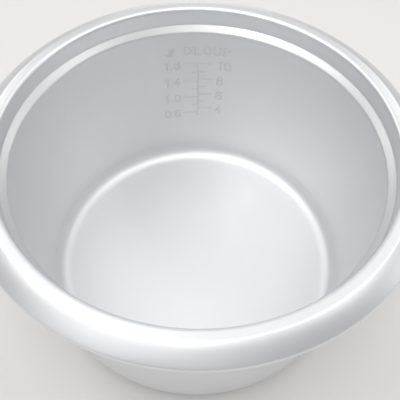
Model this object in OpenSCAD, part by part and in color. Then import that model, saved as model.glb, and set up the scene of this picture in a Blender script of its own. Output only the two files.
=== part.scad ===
// Inner cooking pot of a 1.8 litre rice cooker.
// One sheet of aluminium, deep drawn: flat base, slightly tapered wall, a ledge and collar that seat
// the lid or a steam tray, and a wide brim that hangs the pot in its cooker.
// Millimetres. +Z is up, the origin is the middle of the underside, and the level scale is inside the +Y wall.

/* [Pot] */
// Overall height, from the underside to the crown of the brim
pot_h = 144; // [110:1:200]
// Thickness of the sheet
sheet_t = 2; // [1.2:0.1:2.4]
// Inside radius at the top of the tapered wall
mouth_r = 111.2; // [90:0.1:150]
// Inside radius where the line of the wall meets the floor
foot_r = 106.3; // [80:0.1:140]
// Inside radius of the bend between floor and wall
corner_r = 11; // [4:0.5:20]

/* [Lid seat] */
// Depth of the wall's top edge below the crown of the brim
seat_depth = 17.1; // [12:0.1:30]
// Width of the sloping ledge
ledge_w = 4.1; // [2.5:0.1:8]
// Rise of the sloping ledge
ledge_h = 4.3; // [3:0.1:8]
// Radius of the bend from the wall out to the ledge
ledge_bend_r = 2.6; // [2.5:0.1:4]
// Radius of the bend from the ledge up to the collar
seat_bend_r = 1.5; // [0.5:0.1:3]
// Radius of the bend from the collar out to the brim
collar_bend_r = 2.6; // [2.5:0.1:4]

/* [Brim] */
// Width of the crown, the flat ring on top of the brim
crown_w = 6.7; // [5:0.1:14]
// Width of the falling part of the brim, outside the crown
brim_w = 11.2; // [7:0.1:20]
// Slope of the brim just outside the crown, in degrees
near_fall = 22; // [10:1:35]
// Slope of the brim just before its lip, in degrees
far_fall = 42; // [40:1:70]
// Radius of the bend between the crown and the falling part
crown_bend_r = 3; // [2.5:0.1:5]
// Radius of the bend into the lip
lip_bend_r = 2.8; // [2.5:0.1:4]
// Height of the upright lip below its bend
lip_h = 0.8; // [0.4:0.1:4]

/* [Level scale] */
// How far the marks stand out of the wall
mark_relief = 0.4; // [0.2:0.05:0.8]
// Width of the lines that draw the marks
mark_line = 0.85; // [0.5:0.05:1.2]
// Height of the figures
figure_h = 8; // [5:0.1:10]
// Width of the figures
figure_w = 4.6; // [3:0.1:6]
// Distance from one figure to the next
figure_pitch = 5.6; // [4:0.1:8]
// Distance from a decimal point to the figure after it
point_pitch = 2.2; // [1.5:0.1:4]
// Height of the letters in the heading
heading_h = 7.4; // [5:0.1:9]
// Width of the letters in the heading
letter_w = 5.2; // [3:0.1:6]
// Distance from one letter of the heading to the next
heading_pitch = 7.3; // [6:0.1:10]
// Start of the heading, left of the middle line
heading_lead = 10.7; // [8:0.1:14]
// Height of the litre sign
sign_h = 8.7; // [5:0.1:9]
// Start of the litre sign, left of the middle line
sign_lead = 23.9; // [18:0.1:26]
// Depth of the middle of the heading below the top edge of the wall
heading_depth = 15.8; // [12:0.1:24]
// Depth of the top level below the top edge of the wall
top_level_depth = 27.8; // [24:0.1:45]
// Distance between one cup level and the next
cup_pitch = 7.4; // [5:0.05:9]
// Litres of rice in one cup
cup_litres = 0.18; // [0.15:0.01:0.25]
// Length of the cup ticks that carry a figure
cup_tick = 10.5; // [6:0.1:12]
// Length of the litre ticks that carry a figure
litre_tick = 11.3; // [6:0.1:12]
// Length of the ticks between them
short_tick = 4.9; // [2:0.1:6]
// How far the middle line runs on below the lowest level
line_tail = 2.9; // [0:0.1:6]
// Clear space between a cup tick and its figure
cup_gap = 3.8; // [1:0.1:5]
// Clear space between a litre tick and its figure
litre_gap = 2.6; // [1:0.1:5]
// Drop of the middle of a figure below its tick
figure_drop = 0.8; // [0:0.1:2]

/* [Hidden] */
bend_step = 7.5; // greatest turn between two points of a bend of the sheet, in degrees
mark_bend_step = 22.5; // the same for a bend of a mark
$fn = 180;

CUPS = [10, 4]; // highest and lowest level of the cup scale
LITRES = ["1.8", "1.4", "1.0", "0.6"]; // levels of the litre scale, with a tick between each two
litre_value = [1.8, 1.4, 1, 0.6];

wall_top_z = pot_h - seat_depth;
collar_r = mouth_r + ledge_w;
crown_r = collar_r + crown_w;

// Inside radius of the wall at height z
function wall_r(z) = foot_r + (mouth_r - foot_r) * (z - sheet_t) / (wall_top_z - sheet_t);

// The brow is the long curve of the brim. It fills what the crown bend and the lip bend leave free.
crown_tangent = crown_bend_r * tan(near_fall / 2);
lip_tangent = lip_bend_r * tan((90 - far_fall) / 2);
brow_tangent = (brim_w - crown_tangent * cos(near_fall) - lip_tangent * cos(far_fall))
    / (cos(near_fall) + cos(far_fall));
brow_r = brow_tangent / tan((far_fall - near_fall) / 2);
brow = [crown_r, pot_h] + (crown_tangent + brow_tangent) * [cos(near_fall), -sin(near_fall)];
lip = brow + (brow_tangent + lip_tangent) * [cos(far_fall), -sin(far_fall)];
edge_z = lip.y - lip_tangent - lip_h;

// Upper surface of the sheet, from the axis to the trimmed edge. Each point is
// [radius, height, radius of the bend there].
SHEET = [
    [0, sheet_t, 0],
    [foot_r, sheet_t, corner_r],
    [mouth_r, wall_top_z, ledge_bend_r],
    [collar_r, wall_top_z + ledge_h, seat_bend_r],
    [collar_r, pot_h, collar_bend_r],
    [crown_r, pot_h, crown_bend_r],
    [brow.x, brow.y, brow_r],
    [lip.x, lip.y, lip_bend_r],
    [lip.x, edge_z, 0]
];

function xy(p) = [p.x, p.y];
function heading(a, b) = (xy(b) - xy(a)) / norm(xy(b) - xy(a));
function left_of(d) = [-d.y, d.x];

// Points of one bend of a path, moved out to the path's right by off
function bend(a, b, c, off, step) =
    let (
        d = heading(a, b),
        e = heading(b, c),
        side = sign(d.x * e.y - d.y * e.x),
        turn = acos(max(-1, min(1, d * e))),
        to_centre = side * left_of(d),
        centre = xy(b) - d * b.z * tan(turn / 2) + to_centre * b.z,
        start = atan2(-to_centre.y, -to_centre.x),
        n = ceil(turn / step)
    )
    b.z == 0
        ? [xy(b) + off * (side * d * tan(turn / 2) - left_of(d))]
        : [for (i = [0 : n]) let (a = start + side * turn * i / n)
            centre + (b.z + side * off) * [cos(a), sin(a)]];

// A path with its bends, moved out to its right by off
function outline(path, off, step = bend_step) =
    let (
        last = len(path) - 1,
        points = concat(
            [xy(path[0]) - off * left_of(heading(path[0], path[1]))],
            [for (i = [1 : last - 1]) each bend(path[i - 1], path[i], path[i + 1], off, step)],
            [xy(path[last]) - off * left_of(heading(path[last - 1], path[last]))]
        )
    )
    [for (i = [0 : len(points) - 1]) if (i == 0 || norm(points[i] - points[i - 1]) > 0.01) points[i]];

function reversed(list) = [for (i = [len(list) - 1 : -1 : 0]) list[i]];

module sheet() {
    rotate_extrude() polygon(concat(outline(SHEET, 0), reversed(outline(SHEET, sheet_t))));
}

// The marks are drawn flat, x across the scale and y up it, with these three. w and h are the width
// and height of a shape to the middle of its lines, from its lower left corner.

// An open line, with a bend radius at each point
module line(path) {
    polygon(concat(
        outline(path, -mark_line / 2, mark_bend_step),
        reversed(outline(path, mark_line / 2, mark_bend_step))
    ));
}

// A closed line, which starts and ends at one point of a straight stretch
module ring(path) {
    difference() {
        polygon(outline(path, mark_line / 2, mark_bend_step));
        polygon(outline(path, -mark_line / 2, mark_bend_step));
    }
}

module oval(w, h) {
    r = w / 2 - 0.01;
    ring([[w / 2, 0, 0], [w, 0, r], [w, h, r], [0, h, r], [0, 0, r], [w / 2, 0, 0]]);
}

module figure_1(w, h) line([[w * 0.2, h * 0.8, 0], [w * 0.6, h, 0], [w * 0.6, 0, 0]]);

module figure_4(w, h) {
    line([[w * 0.7, -mark_line / 2, 0], [w * 0.7, h, 0]]);
    line([[w * 0.7, h, 0], [0, h * 0.32, 0]]);
    line([[-mark_line / 2, h * 0.32, 0], [w, h * 0.32, 0]]);
}

module figure_6(w, h) {
    oval(w, h * 0.56);
    line([[w, h * 0.88, 0], [w * 0.9, h, w * 0.15], [0, h, w * 0.45], [0, h * 0.3, 0]]);
}

module figure_8(w, h) {
    oval(w, h * 0.53);
    translate([w * 0.07, h * 0.53]) oval(w * 0.86, h * 0.47);
}

module letter_D(w, h) {
    r = w * 0.6;
    ring([[0, h / 2, 0], [0, 0, 0], [w, 0, r], [w, h, r], [0, h, 0], [0, h / 2, 0]]);
}

module letter_L(w, h) line([[0, h + mark_line / 2, 0], [0, 0, 0], [w, 0, 0]]);

module letter_C(w, h) {
    r = w * 0.48;
    line([[w, h * 0.72, 0], [w, h, r], [0, h, r], [0, 0, r], [w, 0, r], [w, h * 0.28, 0]]);
}

module letter_U(w, h) {
    r = w * 0.48;
    line([[0, h + mark_line / 2, 0], [0, 0, r], [w, 0, r], [w, h + mark_line / 2, 0]]);
}

module letter_P(w, h) {
    r = h * 0.25;
    line([[0, -mark_line / 2, 0], [0, h + mark_line / 2, 0]]);
    line([[0, h, 0], [w, h, r], [w, h * 0.45, r], [0, h * 0.45, 0]]);
}

// A handwritten l, the sign for litres
module litre_sign(w, h) {
    translate([w * 0.3, h * 0.12]) rotate(-24) oval(w * 0.4, h * 0.84);
    line([[-w * 0.15, h * 0.3, 0], [w * 0.35, 0, w * 0.25], [w, h * 0.16, 0]]);
}

module character(c, w, h) {
    if (c == "0") oval(w, h);
    if (c == "1") figure_1(w, h);
    if (c == "4") figure_4(w, h);
    if (c == "6") figure_6(w, h);
    if (c == "8") figure_8(w, h);
    if (c == ".") square(1.3 * mark_line, center = true);
    if (c == "D") letter_D(w, h);
    if (c == "L") letter_L(w, h);
    if (c == "C") letter_C(w, h);
    if (c == "U") letter_U(w, h);
    if (c == "P") letter_P(w, h);
}

// Distance from the left of a figure to the left of the next
function step_after(c) = c == "." ? point_pitch : figure_pitch;
function start_of(s, i) = i == 0 ? 0 : start_of(s, i - 1) + step_after(s[i - 1]);

// A number whose left or right edge is at x and whose middle is at y
module number(s, x, y, from_right = false) {
    left = from_right ? x - start_of(s, len(s) - 1) - figure_w : x;
    translate([left + mark_line / 2, y - (figure_h - mark_line) / 2])
        for (i = [0 : len(s) - 1])
            translate([start_of(s, i), 0]) character(s[i], figure_w - mark_line, figure_h - mark_line);
}

function level_z(cups) = wall_top_z - top_level_depth - (CUPS[0] - cups) * cup_pitch;

// A tick from the middle line of the scale to x
module tick(cups, x) {
    translate([min(0, x), level_z(cups) - mark_line / 2]) square([abs(x), mark_line]);
}

module cup_levels() {
    for (cups = [CUPS[0] : -1 : CUPS[1]]) {
        figured = cups % 2 == 0;
        tick(cups, figured ? cup_tick : short_tick);
        if (figured) number(str(cups), cup_tick + cup_gap, level_z(cups) - figure_drop);
    }
}

module litre_levels() {
    for (i = [0 : len(LITRES) - 1]) {
        cups = litre_value[i] / cup_litres;
        tick(cups, -litre_tick);
        number(LITRES[i], -litre_tick - litre_gap, level_z(cups) - figure_drop, true);
        if (i > 0) tick((litre_value[i] + litre_value[i - 1]) / 2 / cup_litres, -short_tick);
    }
}

module middle_line() {
    top = level_z(CUPS[0]);
    bottom = level_z(litre_value[len(LITRES) - 1] / cup_litres) - line_tail;
    translate([-mark_line / 2, bottom]) square([mark_line, top - bottom]);
}

// Names the two scales: decilitre cups on the right, litres on the left
module heading_row() {
    word = "DLCUP";
    w = letter_w - mark_line;
    h = heading_h - mark_line;
    middle_z = wall_top_z - heading_depth;
    for (i = [0 : len(word) - 1])
        translate([i * heading_pitch - heading_lead + mark_line / 2, middle_z - h / 2])
            character(word[i], w, h);
    translate([-sign_lead, middle_z - sign_h / 2]) litre_sign(w, sign_h - mark_line);
}

// The marks stand out of the inside of the wall by mark_relief, and follow its taper
module level_scale() {
    low_z = sheet_t + corner_r;
    high_z = wall_top_z - ledge_bend_r;
    intersection() {
        rotate_extrude() polygon([
            [wall_r(low_z) - mark_relief, low_z],
            [wall_r(low_z) + sheet_t / 2, low_z],
            [wall_r(high_z) + sheet_t / 2, high_z],
            [wall_r(high_z) - mark_relief, high_z]
        ]);
        translate([0, mouth_r + sheet_t, 0]) rotate([90, 0, 0]) linear_extrude(mouth_r / 2) {
            middle_line();
            cup_levels();
            litre_levels();
            heading_row();
        }
    }
}

module inner_pot() {
    color([0.8, 0.81, 0.83]) {
        sheet();
        level_scale();
    }
}

inner_pot();
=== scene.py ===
"""Looks of the inner pot of a rice cooker: satin aluminium, pale floor, soft studio light.

The pot is one lathe-turned sheet, finer where the level marks are stamped. Shapes are worked out in
millimetres, in the frame of the CAD model, and go into Blender in metres.
"""

import math

import bpy
import numpy as np
from mathutils import Matrix, Vector


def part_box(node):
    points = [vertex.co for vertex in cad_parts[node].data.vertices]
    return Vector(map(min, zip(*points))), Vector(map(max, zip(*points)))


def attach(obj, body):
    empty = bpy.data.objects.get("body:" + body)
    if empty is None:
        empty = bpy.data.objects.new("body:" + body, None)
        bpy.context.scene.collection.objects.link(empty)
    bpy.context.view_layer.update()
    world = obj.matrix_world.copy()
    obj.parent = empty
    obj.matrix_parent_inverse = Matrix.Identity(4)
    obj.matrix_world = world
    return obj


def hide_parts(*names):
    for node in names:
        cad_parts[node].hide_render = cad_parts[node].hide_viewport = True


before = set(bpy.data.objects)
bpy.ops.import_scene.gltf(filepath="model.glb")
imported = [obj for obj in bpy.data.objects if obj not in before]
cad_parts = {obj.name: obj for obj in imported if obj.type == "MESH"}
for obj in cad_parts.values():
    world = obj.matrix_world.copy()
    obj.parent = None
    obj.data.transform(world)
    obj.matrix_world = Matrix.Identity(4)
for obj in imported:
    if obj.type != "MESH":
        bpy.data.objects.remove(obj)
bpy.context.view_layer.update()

MM = 0.001

# ---------------------------------------------------------------- sizes, in millimetres

_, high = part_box("inner_pot")
POT_H = high.z / MM
EDGE_R = high.x / MM

SHEET_T = 2.0
MOUTH_R = 111.2
FOOT_R = 106.3
CORNER_R = 11.0
SEAT_DEPTH = 17.1
LEDGE_W, LEDGE_H = 4.1, 4.3
LEDGE_BEND_R, SEAT_BEND_R, COLLAR_BEND_R = 2.6, 1.5, 2.6
CROWN_W = 6.7
NEAR_FALL, FAR_FALL = math.radians(22), math.radians(42)
CROWN_BEND_R, LIP_BEND_R, LIP_H = 3.0, 2.8, 0.8
EDGE_BREAK = 0.3  # the trimmed edge has its corners taken off by this much

WALL_TOP = POT_H - SEAT_DEPTH
COLLAR_R = MOUTH_R + LEDGE_W
CROWN_R = COLLAR_R + CROWN_W
BRIM_W = EDGE_R - CROWN_R

# ---------------------------------------------------------------- camera

CAMERA_AT = Vector((-0.4, -209.8, 380.4)) * MM
LOOKS_DOWN = math.radians(55.2)
LOOKS_RIGHT = math.radians(0.33)
ROLL = math.radians(0.96)
ROUND_POT = math.radians(-0.43)
LENS_MM, SENSOR_MM = 49.5, 36.0
CLIP_START = 0.01  # metres


def make_camera():
    data = bpy.data.cameras.new("camera")
    data.lens = LENS_MM
    data.sensor_width = SENSOR_MM
    data.clip_start = CLIP_START
    camera = bpy.data.objects.new("camera", data)
    bpy.context.scene.collection.objects.link(camera)
    forward = Vector((0, math.cos(LOOKS_DOWN), -math.sin(LOOKS_DOWN)))
    right = Vector((1, 0, 0))
    up = right.cross(forward)
    forward, right = (
        forward * math.cos(LOOKS_RIGHT) + right * math.sin(LOOKS_RIGHT),
        right * math.cos(LOOKS_RIGHT) - forward * math.sin(LOOKS_RIGHT),
    )
    right, up = (
        right * math.cos(ROLL) + up * math.sin(ROLL),
        up * math.cos(ROLL) - right * math.sin(ROLL),
    )
    turn = Matrix((right, up, -forward)).transposed().to_4x4()
    camera.matrix_world = Matrix.Rotation(ROUND_POT, 4, "Z") @ Matrix.Translation(CAMERA_AT) @ turn
    bpy.context.scene.camera = camera


make_camera()


# ---------------------------------------------------------------- outline of the sheet

BEND_STEP = math.radians(4)  # a bend has a row at least this often
UNDER_BEND_STEP = math.radians(6)  # the same, on the underside
MARK_BEND_STEP = math.radians(15)  # the same, in the lines of a character
GUARD = 0.4  # the short step at each end of a straight stretch, which keeps its shading flat
GUARD_SHARE = 1 / 8  # the most of the stretch that the short step takes
SHORTEST_DIVIDED = 0.625  # a stretch gets more points from this share of the longest step


def unit(v):
    return v / np.hypot(*v)


def bent_path(corners, offset=0.0, step=BEND_STEP):
    """Points along a path whose corners are (x, y, bend radius), moved to its right by offset."""
    points = []
    at = [np.array(c[:2], float) for c in corners]
    for i, corner in enumerate(corners):
        if i == 0 or i == len(corners) - 1:
            d = unit(at[1] - at[0]) if i == 0 else unit(at[-1] - at[-2])
            points.append(at[i] + offset * np.array((d[1], -d[0])))
            continue
        d, e = unit(at[i] - at[i - 1]), unit(at[i + 1] - at[i])
        side = 1 if d[0] * e[1] - d[1] * e[0] > 0 else -1
        turn = math.acos(max(-1, min(1, float(d @ e))))
        inwards = side * np.array((-d[1], d[0]))
        radius = corner[2]
        centre = at[i] - d * radius * math.tan(turn / 2) + inwards * radius
        start = math.atan2(-inwards[1], -inwards[0])
        n = max(1, math.ceil(turn / step)) if radius else 0
        for k in range(n + 1):
            a = start + side * turn * (k / n if n else 0.5)
            spread = radius + side * offset if radius else 0.0
            points.append(centre + spread * np.array((math.cos(a), math.sin(a))))
    return points


def brim_corners():
    """The corners of the falling brim. Its long curve fills what the bends beside it leave free."""
    crown = CROWN_BEND_R * math.tan(NEAR_FALL / 2)
    lip = LIP_BEND_R * math.tan((math.pi / 2 - FAR_FALL) / 2)
    near = np.array((math.cos(NEAR_FALL), -math.sin(NEAR_FALL)))
    far = np.array((math.cos(FAR_FALL), -math.sin(FAR_FALL)))
    brow = (BRIM_W - crown * near[0] - lip * far[0]) / (near[0] + far[0])
    brow_at = np.array((CROWN_R, POT_H)) + (crown + brow) * near
    lip_at = brow_at + (brow + lip) * far
    brow_r = brow / math.tan((FAR_FALL - NEAR_FALL) / 2)
    return [(*brow_at, brow_r), (*lip_at, LIP_BEND_R), (lip_at[0], lip_at[1] - lip - LIP_H, 0)]


SHEET = [
    (0, SHEET_T, 0),
    (FOOT_R, SHEET_T, CORNER_R),
    (MOUTH_R, WALL_TOP, LEDGE_BEND_R),
    (COLLAR_R, WALL_TOP + LEDGE_H, SEAT_BEND_R),
    (COLLAR_R, POT_H, COLLAR_BEND_R),
    (CROWN_R, POT_H, CROWN_BEND_R),
    *brim_corners(),
]


def wall_r(z):
    return FOOT_R + (MOUTH_R - FOOT_R) * (z - SHEET_T) / (WALL_TOP - SHEET_T)


def thinned(points, least=0.02):
    """The same points, without those that nearly fall on the one before."""
    kept = [points[0]]
    for p in points[1:]:
        if np.hypot(*(p - kept[-1])) > least:
            kept.append(p)
    return kept


def filled(points, longest):
    """The same points, with more along each straight stretch.

    There is a short step at each end of it, and there are even steps between. The points of a bend lie
    closer than the stretches that this divides.
    """
    out = [points[0]]
    for a, b in zip(points, points[1:]):
        length = float(np.hypot(*(b - a)))
        if length > SHORTEST_DIVIDED * longest:
            n = max(2, math.ceil(length / longest))
            guard = min(GUARD, length * GUARD_SHARE) / length
            for t in [guard, *[k / n for k in range(1, n)], 1 - guard]:
                out.append(a + (b - a) * t)
        out.append(b)
    return out


# ---------------------------------------------------------------- level marks

MARK_RELIEF = 0.4
MARK_LINE = 0.85
MARK_FLANK = 0.5  # how wide the slope beside a line is
FIGURE_H, FIGURE_W, FIGURE_PITCH, POINT_PITCH = 8.0, 4.6, 5.6, 2.2
HEADING_H, LETTER_W, HEADING_PITCH, HEADING_LEAD = 7.4, 5.2, 7.3, 10.7
SIGN_H, SIGN_LEAD = 8.7, 23.9
HEADING_DEPTH = 15.8
TOP_LEVEL_DEPTH = 27.8
CUP_PITCH = 7.4
CUP_LITRES = 0.18
CUP_TICK, LITRE_TICK, SHORT_TICK = 10.5, 11.3, 4.9
CUP_GAP, LITRE_GAP = 3.8, 2.6
FIGURE_DROP = 0.8
LINE_TAIL = 2.9
CUPS = range(10, 3, -1)
LITRES = ("1.8", "1.4", "1.0", "0.6")


def oval(w, h, x=0.0, y=0.0):
    r = w / 2 - 0.01
    loop = [(w / 2, 0, 0), (w, 0, r), (w, h, r), (0, h, r), (0, 0, r), (w / 2, 0, 0)]
    return [(px + x, py + y, pr) for px, py, pr in loop]


def turned(path, angle, x, y):
    c, s = math.cos(angle), math.sin(angle)
    return [(px * c - py * s + x, px * s + py * c + y, r) for px, py, r in path]


def character(c, w, h):
    """The lines that draw a character, in a box w wide and h high."""
    r = w * 0.48
    if c == "0":
        return [oval(w, h)]
    if c == "1":
        return [[(w * 0.2, h * 0.8, 0), (w * 0.6, h, 0), (w * 0.6, 0, 0)]]
    if c == "4":
        return [
            [(w * 0.7, 0, 0), (w * 0.7, h, 0), (0, h * 0.32, 0)],
            [(0, h * 0.32, 0), (w, h * 0.32, 0)],
        ]
    if c == "6":
        top = [(w, h * 0.88, 0), (w * 0.9, h, w * 0.15), (0, h, w * 0.45), (0, h * 0.3, 0)]
        return [oval(w, h * 0.56), top]
    if c == "8":
        return [oval(w, h * 0.53), oval(w * 0.86, h * 0.47, w * 0.07, h * 0.53)]
    if c == ".":
        return [[(-0.1, 0, 0), (0.1, 0, 0)]]
    if c == "D":
        bow = [(0, 0, 0), (w, 0, w * 0.6), (w, h, w * 0.6), (0, h, 0)]
        return [[(0, h / 2, 0), *bow, (0, h / 2, 0)]]
    if c == "L":
        return [[(0, h, 0), (0, 0, 0), (w, 0, 0)]]
    if c == "C":
        bow = [(w, h, r), (0, h, r), (0, 0, r), (w, 0, r)]
        return [[(w, h * 0.72, 0), *bow, (w, h * 0.28, 0)]]
    if c == "U":
        return [[(0, h, 0), (0, 0, r), (w, 0, r), (w, h, 0)]]
    if c == "P":
        bowl = [(0, h, 0), (w, h, h * 0.25), (w, h * 0.45, h * 0.25), (0, h * 0.45, 0)]
        return [[(0, 0, 0), (0, h, 0)], bowl]
    # what is left is the script letter for litres
    loop = turned(oval(w * 0.4, h * 0.84), math.radians(-24), w * 0.3, h * 0.12)
    tail = [(-w * 0.15, h * 0.3, 0), (w * 0.35, 0, w * 0.25), (w, h * 0.16, 0)]
    return [loop, tail]


def moved(paths, x, y):
    return [[(px + x, py + y, r) for px, py, r in path] for path in paths]


def number(text, x, y, from_right=False):
    """A number whose left or right edge is at x and whose middle is at y."""
    starts = [0.0]
    for c in text:
        starts.append(starts[-1] + (POINT_PITCH if c == "." else FIGURE_PITCH))
    left = x - starts[-2] - FIGURE_W if from_right else x
    out = []
    for c, start in zip(text, starts):
        shape = character(c, FIGURE_W - MARK_LINE, FIGURE_H - MARK_LINE)
        out += moved(shape, left + start + MARK_LINE / 2, y - (FIGURE_H - MARK_LINE) / 2)
    return out


def level_z(cups):
    return WALL_TOP - TOP_LEVEL_DEPTH - (CUPS[0] - cups) * CUP_PITCH


def tick(cups, x):
    end = x - math.copysign(MARK_LINE / 2, x)
    return [[(0, level_z(cups), 0), (end, level_z(cups), 0)]]


def level_marks():
    marks = []
    for cups in CUPS:
        figured = cups % 2 == 0
        marks += tick(cups, CUP_TICK if figured else SHORT_TICK)
        if figured:
            marks += number(str(cups), CUP_TICK + CUP_GAP, level_z(cups) - FIGURE_DROP)
    values = [float(text) for text in LITRES]
    for i, text in enumerate(LITRES):
        cups = values[i] / CUP_LITRES
        marks += tick(cups, -LITRE_TICK)
        marks += number(text, -LITRE_TICK - LITRE_GAP, level_z(cups) - FIGURE_DROP, True)
        if i:
            marks += tick((values[i] + values[i - 1]) / 2 / CUP_LITRES, -SHORT_TICK)
    bottom = level_z(values[-1] / CUP_LITRES) - LINE_TAIL
    marks.append([(0, level_z(CUPS[0]), 0), (0, bottom, 0)])
    w, h = LETTER_W - MARK_LINE, HEADING_H - MARK_LINE
    middle = WALL_TOP - HEADING_DEPTH
    for i, c in enumerate("DLCUP"):
        left = i * HEADING_PITCH - HEADING_LEAD + MARK_LINE / 2
        marks += moved(character(c, w, h), left, middle - h / 2)
    sign = character("litre", w, SIGN_H - MARK_LINE)
    marks += moved(sign, -SIGN_LEAD, middle - SIGN_H / 2)
    return marks


def relief(x, z, marks):
    """How far the wall stands in at points x across the scale and height z."""
    nearest = np.full(x.shape, 1e9)
    for path in marks:
        line = bent_path(path, step=MARK_BEND_STEP)
        reach = MARK_LINE + MARK_FLANK
        box_lo, box_hi = np.min(line, axis=0) - reach, np.max(line, axis=0) + reach
        near = (x > box_lo[0]) & (x < box_hi[0]) & (z > box_lo[1]) & (z < box_hi[1])
        px, pz = x[near], z[near]
        best = nearest[near]
        for a, b in zip(line, line[1:]):
            d = b - a
            t = np.clip(((px - a[0]) * d[0] + (pz - a[1]) * d[1]) / max(d @ d, 1e-12), 0, 1)
            best = np.minimum(best, np.hypot(px - a[0] - t * d[0], pz - a[1] - t * d[1]))
        nearest[near] = best
    t = np.clip((MARK_LINE / 2 + MARK_FLANK / 2 - nearest) / MARK_FLANK, 0, 1)
    return MARK_RELIEF * t * t * (3 - 2 * t)


# ---------------------------------------------------------------- the pot

COLUMNS = 180  # round the whole pot
PATCH_COLUMNS = 16  # columns of the patch that carries the scale, centred on +Y
PATCH_ROW = 4.0  # height of a row of the wall
FINE = 12  # each cell of the patch is this many cells each way
PATCH_MARGIN = 2.0  # how far the patch goes below the lowest mark


def lathe_rows():
    """(radius, height) of each row from the middle of the floor to the middle of the underside."""
    upper = thinned(bent_path(SHEET))
    under = thinned(bent_path(SHEET, SHEET_T, UNDER_BEND_STEP))[::-1]
    edge = upper[-1]
    upper[-1] = edge + np.array((0, EDGE_BREAK))
    inner_edge = under[0]
    under[0] = inner_edge + np.array((0, EDGE_BREAK))
    rim = [edge + np.array((-EDGE_BREAK, 0)), inner_edge + np.array((EDGE_BREAK, 0))]
    rows = filled(upper, PATCH_ROW) + rim + filled(under, 2 * PATCH_ROW)
    return rows[1:-1]


def build_pot():
    rows = lathe_rows()
    count = len(rows)
    angle = [math.pi / 2 - 2 * math.pi * (c - PATCH_COLUMNS / 2) / COLUMNS for c in range(COLUMNS)]
    wall = [i for i, (r, z) in enumerate(rows) if abs(r - wall_r(z)) < 1e-6 and z < WALL_TOP]
    marks = level_marks()
    top_mark = WALL_TOP - HEADING_DEPTH + HEADING_H
    low_mark = min(p[1] for path in marks for p in path) - PATCH_MARGIN
    first = max(i for i in wall if rows[i][1] < low_mark)
    last = min(i for i in wall if rows[i][1] > top_mark)

    verts = []
    faces = []
    index = {}

    def vertex(key, r, z, a):
        if key not in index:
            index[key] = len(verts)
            verts.append((r * math.cos(a), r * math.sin(a), z))
        return index[key]

    def coarse(i, c):
        c %= COLUMNS
        if first <= i <= last and c <= PATCH_COLUMNS:
            return fine((i - first) * FINE, c * FINE)
        return vertex(("c", i, c), rows[i][0], rows[i][1], angle[c])

    def fine(j, k):
        i, t = divmod(j, FINE)
        i = first + i
        z = rows[i][1] if t == 0 else rows[i][1] + (rows[i + 1][1] - rows[i][1]) * t / FINE
        a = angle[0] - 2 * math.pi * k / FINE / COLUMNS
        return vertex(("f", j, k), wall_r(z), z, a)

    for i in range(count - 1):
        for c in range(COLUMNS):
            in_rows = first <= i < last
            in_columns = c < PATCH_COLUMNS
            if in_rows and in_columns:
                continue
            ring = [coarse(i, c)]
            if i == last and in_columns:
                ring += [fine((last - first) * FINE, c * FINE + k) for k in range(1, FINE)]
            ring.append(coarse(i, c + 1))
            if in_rows and c == COLUMNS - 1:
                ring += [fine((i - first) * FINE + k, 0) for k in range(1, FINE)]
            ring.append(coarse(i + 1, c + 1))
            if i + 1 == first and in_columns:
                ring += [fine(0, c * FINE + k) for k in range(FINE - 1, 0, -1)]
            ring.append(coarse(i + 1, c))
            if in_rows and c == PATCH_COLUMNS:
                side = PATCH_COLUMNS * FINE
                ring += [fine((i - first) * FINE + k, side) for k in range(FINE - 1, 0, -1)]
            faces.append(ring)
    for j in range((last - first) * FINE):
        for k in range(PATCH_COLUMNS * FINE):
            faces.append([fine(j, k), fine(j, k + 1), fine(j + 1, k + 1), fine(j + 1, k)])
    for i, z in ((0, rows[0][1]), (count - 1, rows[-1][1])):
        middle = len(verts)
        verts.append((0.0, 0.0, z))
        for c in range(COLUMNS):
            pair = [coarse(i, c), coarse(i, c + 1)]
            faces.append([middle] + (pair[::-1] if i == 0 else pair))

    co = np.array(verts)
    on_patch = np.array([key[0] == "f" for key in index] + [False, False])
    x, y, z = co.T
    stand = np.zeros(len(co))
    stand[on_patch] = relief(x[on_patch], z[on_patch], marks)
    r = np.maximum(np.hypot(x, y), 1e-9)
    co[:, 0] -= stand * x / r
    co[:, 1] -= stand * y / r
    mesh = bpy.data.meshes.new("pot")
    mesh.from_pydata((co * MM).tolist(), [], [face[::-1] for face in faces])
    mesh.validate()
    mesh.polygons.foreach_set("use_smooth", [True] * len(mesh.polygons))
    # painted shade for the marks: how far each point lies up the slope of a line
    raised = stand / MARK_RELIEF
    painted_flank_shade = mesh.attributes.new("painted_flank_shade", "FLOAT", "POINT")
    painted_flank_shade.data.foreach_set("value", 4 * raised * (1 - raised))  # 1 half way up the slope of a line, where the painted shade is darkest
    pot = bpy.data.objects.new("pot", mesh)
    bpy.context.scene.collection.objects.link(pot)
    return pot


# ---------------------------------------------------------------- materials

ALUMINIUM = (0.80, 0.805, 0.82, 1)
FLANK_PAINTED_SHADE = (0.61, 0.614, 0.626, 1)  # painted shade: the slopes of the stamped marks are drawn greyer, as if in shadow
METALLIC = 0.85
WALL_ROUGHNESS, RIM_ROUGHNESS = 0.50, 0.38
PATCHINESS, DRAW_LINES = 0.08, 0.05  # how much the roughness changes from place to place
CLOUDS_PER_M, DRAW_LINES_PER_M, GRAIN_PER_M = 26.0, 420.0, 1400.0
RIM_BLEND = 2.0  # the wall turns into the smoother rim over this height
BASE_BLEND = (0.4, 1.2)  # the turning marks fade out between these heights
GRAIN_DEPTH, TURNING_DEPTH = 0.1, 0.05  # millimetres
TURNING_SCALE = 260.0
FLOOR_COLOUR = (0.72, 0.71, 0.70, 1)
FLOOR_ROUGHNESS = 0.6


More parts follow.
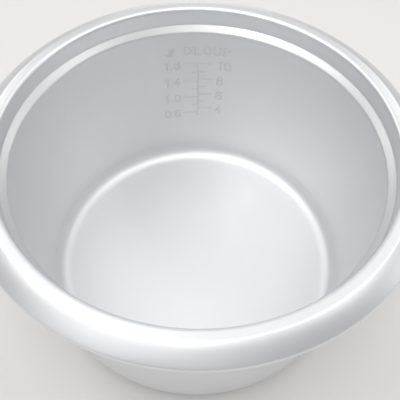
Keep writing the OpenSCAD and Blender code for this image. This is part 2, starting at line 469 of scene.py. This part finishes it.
class Nodes:
    """A material's nodes, added and joined in few words."""

    def __init__(self, name):
        self.material = bpy.data.materials.new(name)
        self.material.use_nodes = True
        self.tree = self.material.node_tree
        self.shader = self.tree.nodes["Principled BSDF"]

    def add(self, kind, inputs=(), **settings):
        node = self.tree.nodes.new(kind)
        for name, value in settings.items():
            setattr(node, name, value)
        for name, value in dict(inputs).items():
            self.put(value, node.inputs[name])
        return node

    def put(self, value, socket):
        if isinstance(value, bpy.types.NodeSocket):
            self.tree.links.new(value, socket)
        else:
            socket.default_value = value

    def noise(self, place, scale, detail):
        inputs = {"Vector": place, "Scale": scale, "Detail": detail}
        return self.add("ShaderNodeTexNoise", inputs).outputs["Fac"]

    def maths(self, operation, *values):
        inputs = dict(enumerate(values))
        return self.add("ShaderNodeMath", inputs, operation=operation).outputs["Value"]


def satin_aluminium():
    """Blasted inside and out, smoother where the rim was rolled, with turning marks under the base."""
    m = Nodes("satin_aluminium")
    place = m.add("ShaderNodeTexCoord").outputs["Object"]
    height = m.add("ShaderNodeSeparateXYZ", {"Vector": place}).outputs["Z"]
    rim = m.add("ShaderNodeMapRange", {
        "Value": height, "From Min": (WALL_TOP - RIM_BLEND) * MM, "From Max": WALL_TOP * MM,
    })
    base = m.add("ShaderNodeMapRange", {
        "Value": height, "From Min": BASE_BLEND[1] * MM, "From Max": BASE_BLEND[0] * MM,
    })

    # roughness: wall or rim, plus soft clouds and upright draw lines
    clouds = m.noise(place, CLOUDS_PER_M, 3.0)
    along = m.add("ShaderNodeMapping", {"Vector": place, "Scale": (1.0, 1.0, 0.05)})
    draw_lines = m.noise(along.outputs["Vector"], DRAW_LINES_PER_M, 2.0)
    drawn = m.maths("MULTIPLY_ADD", draw_lines, DRAW_LINES, -DRAW_LINES / 2)
    satin = m.add("ShaderNodeMapRange", {
        "Value": rim.outputs["Result"], "To Min": WALL_ROUGHNESS, "To Max": RIM_ROUGHNESS,
    })
    patchy = m.maths("MULTIPLY_ADD", clouds, PATCHINESS, -PATCHINESS / 2)
    uneven = m.maths("ADD", patchy, drawn)
    rough = m.maths("ADD", satin.outputs["Result"], uneven)

    # bump: the blasted grain, and the turning marks under the base
    blasted = m.add("ShaderNodeBump", {
        "Height": m.noise(place, GRAIN_PER_M, 2.0), "Strength": 0.15, "Distance": GRAIN_DEPTH * MM,
    })
    turning = m.add(
        "ShaderNodeTexWave",
        {"Vector": place, "Scale": TURNING_SCALE, "Distortion": 0.4, "Detail": 2.0},
        wave_type="RINGS", rings_direction="Z",
    )
    turned_base = m.maths("MULTIPLY", turning.outputs["Fac"], base.outputs["Result"])
    bump = m.add("ShaderNodeBump", {
        "Height": turned_base, "Strength": 0.3, "Distance": TURNING_DEPTH * MM,
        "Normal": blasted.outputs["Normal"],
    })

    # colour: painted shade, greyer on the slopes of the marks so that they read as shaded. A mix
    # node's sockets 6 and 7 are its two colours
    painted_flank_shade = m.add("ShaderNodeAttribute", attribute_name="painted_flank_shade").outputs["Fac"]
    tone = m.add("ShaderNodeMix", {0: painted_flank_shade, 6: ALUMINIUM, 7: FLANK_PAINTED_SHADE}, data_type="RGBA")
    m.put(tone.outputs[2], m.shader.inputs["Base Color"])
    m.shader.inputs["Metallic"].default_value = METALLIC
    m.put(rough, m.shader.inputs["Roughness"])
    m.put(bump.outputs["Normal"], m.shader.inputs["Normal"])
    return m.material


def pale_floor():
    m = Nodes("pale_floor")
    m.shader.inputs["Base Color"].default_value = FLOOR_COLOUR
    m.shader.inputs["Roughness"].default_value = FLOOR_ROUGHNESS
    return m.material


# ---------------------------------------------------------------- floor and light

FLOOR_SIZE = 6  # metres
WORLD_STRENGTH = 0.41


def make_floor():
    bpy.ops.mesh.primitive_plane_add(size=FLOOR_SIZE)
    floor = bpy.context.object
    floor.name = "floor"
    floor.data.materials.append(pale_floor())


LIGHT_DISTANCE = 1.6  # metres, from what a light is aimed at
LIGHTS_AT = Vector((0, 0, 100)) * MM
LIGHTS = [  # name, azimuth from -Y towards +X and elevation in degrees, metres across, watts
    ("key", 0, 76, 0.7, 5.2),
    ("key_left", -90, 76, 0.9, 1.7),
    ("left", -90, 58, 0.9, 5.2),
    ("right", 90, 58, 0.9, 4.6),
    ("front_left", -36, 46, 1.2, 1.4),
    ("window", -45, 24, 1.2, 1.5),
    ("front", 0, 35, 0.9, 0.6),
    ("back", 180, 58, 0.9, 1.6),
    ("back_left", -135, 35, 0.9, 2.8),
    ("back_right", 135, 35, 0.9, 2.7),
    ("back_low", 180, 12, 0.9, 1.5),
    ("right_low", 90, 12, 0.9, 1.6),
]

GLOW_AT = Vector((58, 88, 90)) * MM
GLOW_FROM = (-36, 50)  # azimuth and elevation, as above
GLOW_CONE = math.radians(7.5)
GLOW_WATTS = 17.0
GLOW_RADIUS = 0.1  # metres, of the lamp itself


def place_light(data, aimed_at, azimuth, elevation):
    light = bpy.data.objects.new(data.name, data)
    a, e = math.radians(azimuth), math.radians(elevation)
    way = Vector((math.sin(a) * math.cos(e), -math.cos(a) * math.cos(e), math.sin(e)))
    light.location = aimed_at + way * LIGHT_DISTANCE
    light.rotation_euler = way.to_track_quat("Z", "Y").to_euler()
    bpy.context.scene.collection.objects.link(light)


def make_lights():
    for name, azimuth, elevation, size, watts in LIGHTS:
        data = bpy.data.lights.new(name, "AREA")
        data.shape = "DISK"
        data.size = size
        data.energy = watts
        place_light(data, LIGHTS_AT, azimuth, elevation)


def make_glow():
    """The soft patch of light on the right of the far wall and of the floor of the pot."""
    data = bpy.data.lights.new("glow", "SPOT")
    data.energy = GLOW_WATTS
    data.spot_size = GLOW_CONE
    data.spot_blend = 1.0
    data.shadow_soft_size = GLOW_RADIUS
    place_light(data, GLOW_AT, *GLOW_FROM)


def make_world():
    world = bpy.data.worlds.new("studio")
    bpy.context.scene.world = world
    world.use_nodes = True
    background = world.node_tree.nodes["Background"]
    background.inputs["Color"].default_value = (1, 1, 1, 1)
    background.inputs["Strength"].default_value = WORLD_STRENGTH


# ---------------------------------------------------------------- the scene

pot = build_pot()
pot.data.materials.append(satin_aluminium())
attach(pot, "root")
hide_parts("inner_pot")
make_floor()
make_lights()
make_glow()
make_world()
bpy.context.scene.view_settings.view_transform = "Standard"
